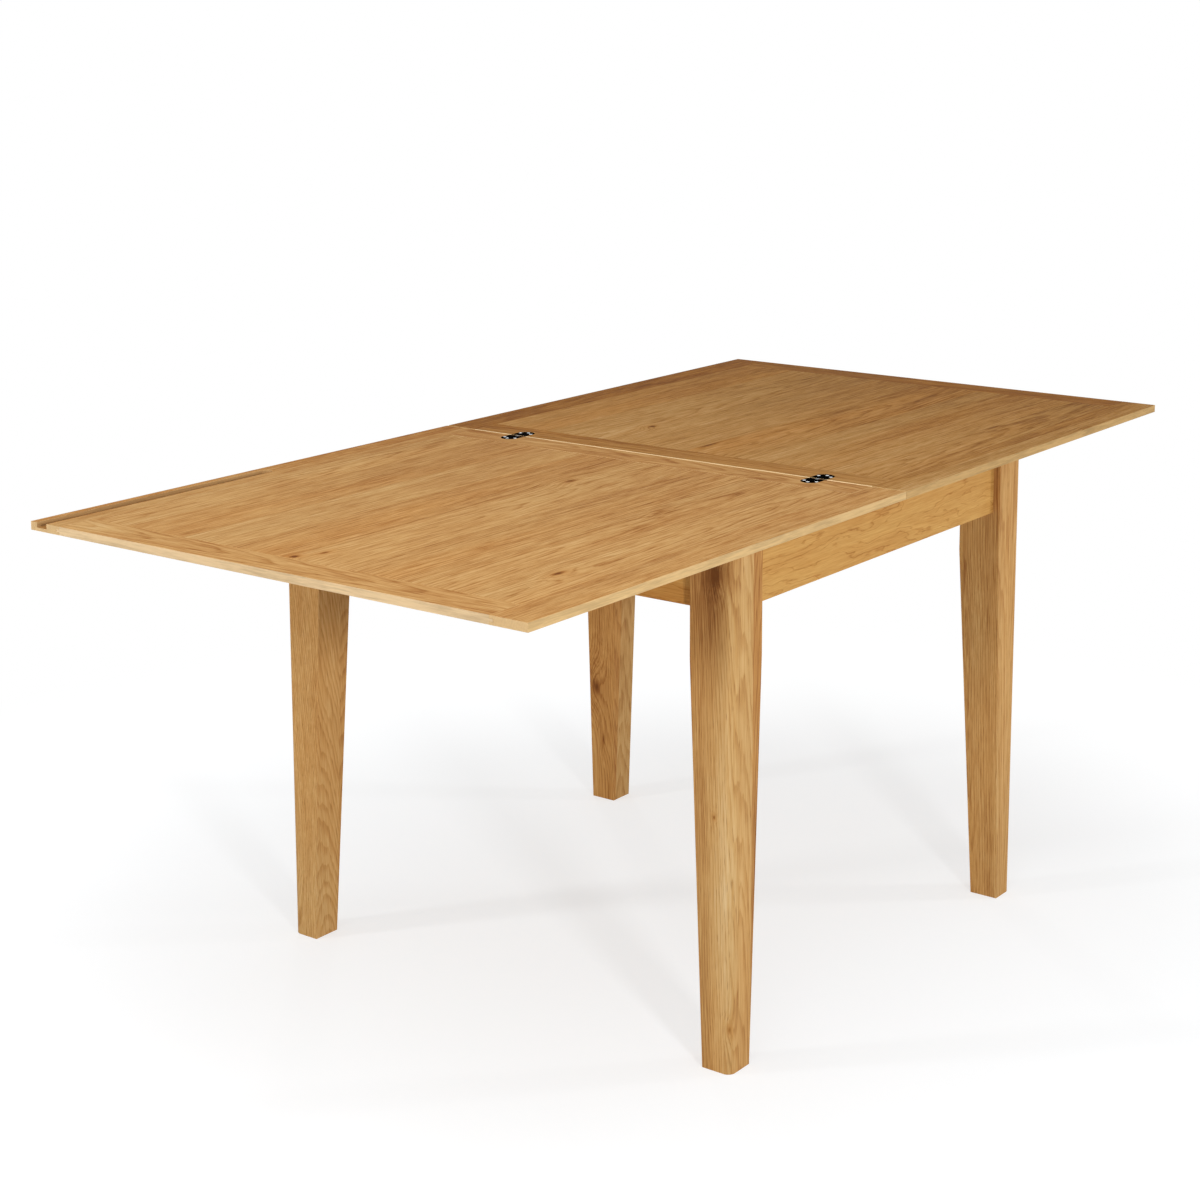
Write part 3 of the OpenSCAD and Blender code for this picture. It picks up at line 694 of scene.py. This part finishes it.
def metalMaterial(name, changes):
    look = {**metalSurface, **changes}
    material, tree = newMaterial(name)
    coords = addNode(tree, "TexCoord").outputs["Object"]
    smear = noiseOf(tree, coords, look["smearScale"], *look["smearNoise"])
    grain = noiseOf(tree, coords, look["grainScale"], *look["grainNoise"])
    smeared = smooth(tree, smear, *look["smearEdges"])
    uneven = swing(tree, smear, look["roughness"] * look["uneven"])
    bump = addNode(tree, "Bump", {"Height": grain, "Strength": look["bump"], "Distance": look["bumpDepth"]})
    closeMaterial(tree, {
        "Base Color": mixColour(tree, smeared, look["dark"], look["light"]),
        "Metallic": 1.0,
        "Roughness": plus(tree, look["roughness"], uneven, swing(tree, grain, look["grainRough"])),
        "Specular Tint": (*look["edgeTint"], 1.0),
        "Normal": bump.outputs[0],
    })
    return material


metal = {name: metalMaterial(name, look) for name, look in metals.items()}

feltLook = {
    "dark": (0.022, 0.018, 0.015), "light": (0.060, 0.050, 0.042),
    "fuzz": (1400.0, 4.0, 0.7),  # scale, detail and roughness
    "bump": 0.6, "bumpDepth": 0.4 * mm, "roughness": 0.95, "sheen": 0.3, "specular": 0.2,
}


def feltMaterial(name, look):
    material, tree = newMaterial(name)
    fuzz = noiseOf(tree, addNode(tree, "TexCoord").outputs["Object"], *look["fuzz"])
    bump = addNode(tree, "Bump", {"Height": fuzz, "Strength": look["bump"], "Distance": look["bumpDepth"]})
    closeMaterial(tree, {
        "Base Color": mixColour(tree, fuzz, look["dark"], look["light"]),
        "Roughness": look["roughness"],
        "Sheen Weight": look["sheen"],
        "Specular IOR Level": look["specular"],
        "Normal": bump.outputs[0],
    })
    return material


hardwareBevels = {"plates": 0.25 * mm, "links": 0.1 * mm, "washers": 0.3 * mm}
dress("glide_strips", feltMaterial("gliderFelt", feltLook))
for name in ("leaf_hinge_plates", "flap_hinge_plates"):
    dress(name, metal["plateDarkReflection"], hardwareBevels["plates"])
for name in ("leaf_hinge_pins", "flap_hinge_pins", "hinge_links"):
    dress(name, metal["linkPolish"], hardwareBevels["links"])
dress("bolt_washers", metal["brightZinc"], hardwareBevels["washers"])
print("table: hinges, washers and felt")


# Small hardware with cut recesses and threads, in place of the plain solids

def joinRings(mesh, rings, capStart=True, capEnd=True):
    made = [[mesh.verts.new(point) for point in ring] for ring in rings]
    for ringA, ringB in zip(made, made[1:]):
        for i in range(len(ringA)):
            j = (i + 1) % len(ringA)
            mesh.faces.new((ringA[i], ringA[j], ringB[j], ringB[i]))
    if capStart:
        mesh.faces.new(list(reversed(made[0])))
    if capEnd:
        mesh.faces.new(made[-1])
    return made


def edgesRound(mesh, ring):
    return [mesh.edges.get((ring[i], ring[(i + 1) % len(ring)])) for i in range(len(ring))]


def onCircle(radius, angle, z):
    return Vector((radius * math.cos(angle), radius * math.sin(angle), z))


def circle(radius, z, count):
    return [onCircle(radius, math.tau * i / count, z) for i in range(count)]


def threadRings(radius, start, end, pitch, depth, count, perTurn=4):
    # The radius follows a V that climbs once round the shank for each pitch
    steps = max(2, round(abs(end - start) / pitch * perTurn))
    rings = []
    for k in range(steps + 1):
        z = start + (end - start) * k / steps
        ring = []
        for i in range(count):
            phase = (z / pitch - i / count) % 1.0
            ring.append(onCircle(radius - depth * abs(2.0 * phase - 1.0), math.tau * i / count, z))
        rings.append(ring)
    return rings


def crossOutline(reach, half, z):
    corners = []
    for k in range(4):
        turned = Matrix.Rotation(math.pi / 2 * k, 3, "Z")
        for x, y in ((half, half), (half, reach), (-half, reach)):
            corners.append(turned @ Vector((x, y, z)))
    return corners


def addTo(mesh, part, placing):
    # Moves a finished part to its place in the mesh of its set
    bmesh.ops.recalc_face_normals(part, faces=part.faces)
    part.transform(placing)
    carrier = bpy.data.meshes.new("carrier")
    part.to_mesh(carrier)
    mesh.from_mesh(carrier)
    part.free()
    bpy.data.meshes.remove(carrier)


screwShape = {
    "count": 32,          # corners round the head
    "rim": 0.7,           # height of the head's eased rim, in parts of its width
    "threadFrom": 0.6, "threadTo": 1.6, "threadDepth": 0.22, "tip": 0.2,  # in parts of the shank's radius
    "slotReach": 0.56, "slotHalf": 0.115,  # the cross recess, in parts of the head's radius
    "slotLevels": ((1.0, 1.0, 0.0), (0.86, 0.85, 0.24), (0.42, 0.60, 0.48)),  # reach, half width, depth
}


def addScrew(mesh, placing, look):
    # Countersunk head with a cross recess at the origin, threaded shank along -Z
    look = {**screwShape, **look}
    part = bmesh.new()
    head, shank, length = look["head"] / 2, look["shank"] / 2, look["length"]
    ease, count = look["ease"], look["count"]
    cone = head - shank
    threadStart, threadEnd = -cone - shank * look["threadFrom"], -length + shank * look["threadTo"]
    rings = [circle(head - ease, 0.0, count), circle(head, -ease * look["rim"], count)]
    rings.append(circle(shank, -cone, count))
    rings += threadRings(shank, threadStart, threadEnd, look["pitch"], shank * look["threadDepth"], count)
    rings.append(circle(shank * look["tip"], -length, count))
    made = joinRings(part, rings, capStart=False)
    for face in part.faces:
        face.smooth = True
    reach, half = head * look["slotReach"], head * look["slotHalf"]
    levels = [crossOutline(reach * inReach, half * inWidth, -head * deep)
              for inReach, inWidth, deep in look["slotLevels"]]
    recess = joinRings(part, levels, capStart=False)
    opening = edgesRound(part, made[0]) + edgesRound(part, recess[0])
    bmesh.ops.triangle_fill(part, edges=opening, use_beauty=True, normal=(0, 0, 1))
    addTo(mesh, part, placing)


def pointing(place, direction):
    # Puts a shape whose tip points along -Z at place, tip along direction, turned a little at random
    aim = Vector(direction).to_track_quat("-Z", "Y").to_matrix().to_4x4()
    return Matrix.Translation(place) @ aim @ Matrix.Rotation(twist.uniform(0, math.pi / 2), 4, "Z")


def makePiece(name, mesh, material, body, node):
    data = bpy.data.meshes.new(name)
    mesh.to_mesh(data)
    mesh.free()
    data.materials.append(material)
    piece = bpy.data.objects.new(name, data)
    bpy.context.collection.objects.link(piece)
    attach(piece, body)
    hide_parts(node)


twist = random.Random(17)
woodScrew = {"head": 8.0 * mm, "shank": 4.0 * mm, "pitch": 1.8 * mm, "ease": 0.25 * mm}
screwLook = {
    "hinge": {"head": 5.5 * mm, "shank": 2.5 * mm, "length": 9.0 * mm, "pitch": 0.9 * mm, "ease": 0.20 * mm},
    "guide": {**woodScrew, "length": 36.0 * mm},
    "block": {**woodScrew, "length": 32.0 * mm},
    "runner": {**woodScrew, "length": 40.0 * mm},
}
screwSpots = {
    "hingeCentres": (-0.295, 0.295),
    "inHinge": ((-0.011, 0.021), (0.011, 0.021), (0.0, 0.0285)),  # from the middle of the hinge
    "guideX": 0.365, "guideY": (-0.303, -0.101, 0.101, 0.303), "guideZ": 0.7249,
    "blockFace": 0.371, "blockAcross": 0.307, "blockZ": 0.6899,
    "runnerX": 0.3526, "runnerY": (0.1275, 0.225, 0.3225), "runnerZ": 0.7265,
}
bothSides = (-1, 1)
hingeSpots = [(x + dx, dy) for x in screwSpots["hingeCentres"] for dx, dy in screwSpots["inHinge"]]
guideSpots = [(side, y) for side in bothSides for y in screwSpots["guideY"]]
runnerSpots = [(side * screwSpots["runnerX"], y) for side in bothSides for y in screwSpots["runnerY"]]
blockScrews = []
for sideX in bothSides:
    for sideY in bothSides:
        face, across, z = screwSpots["blockFace"], screwSpots["blockAcross"], screwSpots["blockZ"]
        blockScrews.append(((sideX * face, sideY * across, z), (sideX, 0, 0)))
        blockScrews.append(((sideX * across, sideY * face, z), (0, sideY, 0)))
for name, node, body, kind, finish, slot, places in (
    ("leafHingeScrewSet", "leaf_hinge_screws", "fixed_leaf", "hinge", "screwPolish", "screw_chrome",
     [((x, y, topZ), (0, 0, -1)) for x, y in hingeSpots]),
    ("flapHingeScrewSet", "flap_hinge_screws", "flap", "hinge", "screwPolish", "screw_chrome",
     [((x, -y, topZ), (0, 0, -1)) for x, y in hingeSpots]),
    ("guideScrewSet", "guide_screws", "base", "guide", "brightZinc", "zinc_steel",
     [((side * screwSpots["guideX"], y, screwSpots["guideZ"]), (side, 0, 0)) for side, y in guideSpots]),
    ("blockScrewSet", "block_screws", "base", "block", "brightZinc", "zinc_steel", blockScrews),
    ("runnerScrewSet", "runner_screws", "fixed_leaf", "runner", "brightZinc", "zinc_steel",
     [((x, y, screwSpots["runnerZ"]), (0, 0, 1)) for x, y in runnerSpots]),
):
    mesh = bmesh.new()
    for place, direction in places:
        addScrew(mesh, pointing(place, direction), screwLook[kind])
    makePiece(name, mesh, metal[finish], body, node)

# Hanger bolts run from the corner blocks into the legs, across both faces. A place on one is its x and y.
boltLook = {
    "height": 0.6899, "end": 0.32075, "inLeg": 0.37845, "radius": 4.0 * mm, "pitch": 1.25 * mm,
    "thread": 0.55 * mm, "threadFrom": 0.8 * mm, "threadTo": 1.5 * mm,  # its depth, and its ends' distances
    "endEase": 1.0 * mm, "tip": 0.5,
    "count": 24,
}
nutLook = {
    "from": 0.32428, "to": 0.32887, "flats": 13.0 * mm, "chamfer": 0.9 * mm, "faceEase": 0.3 * mm,
    "cornerCut": 1.2 * mm, "bore": 0.92, "mouth": 1.06, "mouthDepth": 0.6 * mm, "count": 48,
}


def addBolt(mesh, placing, look, length):
    part = bmesh.new()
    radius, count = look["radius"], look["count"]
    threadEnd = length - look["threadTo"]
    rings = [circle(radius - look["endEase"], 0.0, count)]
    rings += threadRings(radius, look["threadFrom"], threadEnd, look["pitch"], look["thread"], count)
    rings.append(circle(radius * look["tip"], length, count))
    joinRings(part, rings)
    for face in part.faces:
        face.smooth = len(face.verts) == 4
    addTo(mesh, part, placing)


def addNut(mesh, placing, look, length, boltRadius):
    # A hexagon whose corners are cut by a cone at both ends
    part = bmesh.new()
    flats, chamfer, count = look["flats"] / 2, look["chamfer"], look["count"]
    facing, corner = flats - look["faceEase"], flats + look["cornerCut"]
    rings = []
    for z, cap in ((0.0, facing), (chamfer, corner), (length - chamfer, corner), (length, facing)):
        ring = []
        for i in range(count):
            angle = math.tau * i / count
            hexagon = flats / math.cos((angle + math.pi / 6) % (math.pi / 3) - math.pi / 6)
            ring.append(onCircle(min(hexagon, cap), angle, z))
        rings.append(ring)
    bore, mouth = boltRadius * look["bore"], boltRadius * look["mouth"]
    inside = [circle(bore, look["mouthDepth"], count), circle(mouth, 0.0, count)]
    joinRings(part, inside + rings + [circle(bore, length, count)], capStart=False, capEnd=False)
    addTo(mesh, part, placing)


def acrossCorner(sideX, sideY, place):
    # Turns +Z outwards through a corner of the base, with the origin at that place on the bolt's line
    aim = Vector((sideX, sideY, 0)).normalized().to_track_quat("Z", "X").to_matrix().to_4x4()
    return Matrix.Translation((sideX * place, sideY * place, boltLook["height"])) @ aim


bolts, nuts = bmesh.new(), bmesh.new()
boltLength = (boltLook["inLeg"] - boltLook["end"]) * math.sqrt(2)
nutLength = (nutLook["to"] - nutLook["from"]) * math.sqrt(2)
for sideX in bothSides:
    for sideY in bothSides:
        addBolt(bolts, acrossCorner(sideX, sideY, boltLook["end"]), boltLook, boltLength)
        addNut(nuts, acrossCorner(sideX, sideY, nutLook["from"]), nutLook, nutLength, boltLook["radius"])
makePiece("hangerBoltSet", bolts, metal["brightZinc"], "base", "hanger_bolts")
makePiece("boltNutSet", nuts, metal["brightZinc"], "base", "bolt_nuts")
print("table: screws, bolts and nuts")


# Studio: pale floor, white surround, soft boxes at the four corners and one overhead

studio = {
    "floorSize": 24.0, "floorDrop": 0.2 * mm, "floorGrey": 0.78, "floorTint": (0.965, 1.0, 1.03),
    "floorShown": 0.55,   # how much of the floor and its shadow shows near the table
    "floorLift": 0.68,    # extra white of that part, so that it stays pale
    "fadeFrom": 0.75, "fadeTo": 1.8,
    "worldFill": 0.44,    # light of the surround on the table
    "boxes": [  # name, place, aim, size, power
        ("overhead", (0.3, -1.6, 2.9), (0.0, -0.6, 0.77), 2.0, 26.0),
        ("rightFront", (3.1, -2.2, 1.6), (0.0, -0.2, 0.4), 0.35, 52.0),
        ("leftFront", (-2.4, -3.2, 1.6), (0.0, -0.2, 0.4), 0.35, 38.0),
        ("rightBack", (3.1, 2.6, 1.3), (0.0, 0.2, 0.4), 0.35, 33.0),
        ("leftBack", (-3.1, 2.8, 1.3), (0.0, 0.2, 0.4), 0.35, 16.0),
    ],
    "noGloss": ("leftBack",),  # would draw a pale haze over the flap from the front
}
plainWhite = (1.0, 1.0, 1.0, 1.0)


def seenDirectly(tree):
    # 1 for rays that show the background: camera, glossy and transmission
    path = addNode(tree, "LightPath").outputs
    return calc(tree, "ADD", calc(tree, "MAXIMUM", path["Is Camera Ray"], path["Is Glossy Ray"]),
                path["Is Transmission Ray"], clamp=True)


def makeSurround():
    world = bpy.data.worlds.new("studioWorld")
    bpy.context.scene.world = world
    world.use_nodes = True
    tree = world.node_tree
    tree.nodes.clear()
    fill = studio["worldFill"]
    glow = calc(tree, "MULTIPLY_ADD", seenDirectly(tree), 1.0 - fill, fill)
    surround = addNode(tree, "Background", {"Color": plainWhite, "Strength": glow})
    tree.links.new(surround.outputs[0], addNode(tree, "OutputWorld").inputs[0])


def floorMaterial():
    material, tree = newMaterial("paleFloor")
    grey = tuple(studio["floorGrey"] * part for part in studio["floorTint"])
    matte = addNode(tree, "BsdfDiffuse", {"Color": (*grey, 1.0)})
    spot = addNode(tree, "TexCoord").outputs["Object"]
    away = addNode(tree, "VectorMath", {0: spot}, operation="LENGTH").outputs[1]
    fade = smooth(tree, away, studio["fadeFrom"], studio["fadeTo"], studio["floorShown"], 0.0)
    glowing = calc(tree, "MULTIPLY_ADD", fade, studio["floorLift"], 1.0)
    white = addNode(tree, "Emission", {"Color": plainWhite, "Strength": glowing})
    # Cameras and mirrors see mostly white with a trace of the shadow, other rays see a plain pale floor
    shown = calc(tree, "MULTIPLY_ADD", seenDirectly(tree), calc(tree, "SUBTRACT", fade, 1.0), 1.0)
    above = addNode(tree, "MixShader", {0: shown, 1: white.outputs[0], 2: matte.outputs[0]})
    below = addNode(tree, "NewGeometry").outputs["Backfacing"]
    clear = addNode(tree, "BsdfTransparent")  # from below, the floor hides nothing
    either = addNode(tree, "MixShader", {0: below, 1: above.outputs[0], 2: clear.outputs[0]})
    tree.links.new(either.outputs[0], addNode(tree, "OutputMaterial").inputs[0])
    return material


def makeFloor():
    mesh = bpy.data.meshes.new("studioFloor")
    half = studio["floorSize"] / 2
    corners = [(-half, -half, 0), (half, -half, 0), (half, half, 0), (-half, half, 0)]
    mesh.from_pydata(corners, [], [(0, 1, 2, 3)])
    mesh.materials.append(floorMaterial())
    studioFloor = bpy.data.objects.new("studioFloor", mesh)
    studioFloor.location.z = -studio["floorDrop"]
    bpy.context.collection.objects.link(studioFloor)


def makeBox(name, place, aim, size, power):
    lamp = bpy.data.lights.new(name, "AREA")
    lamp.size = size
    lamp.energy = power
    box = bpy.data.objects.new(name, lamp)
    box.location = place
    box.visible_glossy = name not in studio["noGloss"]
    box.rotation_euler = (Vector(aim) - Vector(place)).to_track_quat("-Z", "Y").to_euler()
    bpy.context.collection.objects.link(box)


viewpoint = {
    "place": (2.107, -2.9525, 1.5047), "heading": 0.6413, "down": 0.1686, "roll": -0.0022,
    "lens": 69.10, "shift": (-0.010, -0.180),
}


def makeCamera(look):
    data = bpy.data.cameras.new("photoCamera")
    data.lens = look["lens"]
    data.shift_x, data.shift_y = look["shift"]
    camera = bpy.data.objects.new("photoCamera", data)
    heading = Matrix.Rotation(look["heading"], 4, "Z")
    tilt = Matrix.Rotation(math.pi / 2 - look["down"], 4, "X")
    roll = Matrix.Rotation(look["roll"], 4, "Z")
    camera.matrix_world = Matrix.Translation(look["place"]) @ (heading @ tilt) @ roll
    bpy.context.collection.objects.link(camera)
    bpy.context.scene.camera = camera


makeSurround()
makeFloor()
for setting in studio["boxes"]:
    makeBox(*setting)
makeCamera(viewpoint)
bpy.context.scene.view_settings.view_transform = "Standard"
print("table: studio ready")
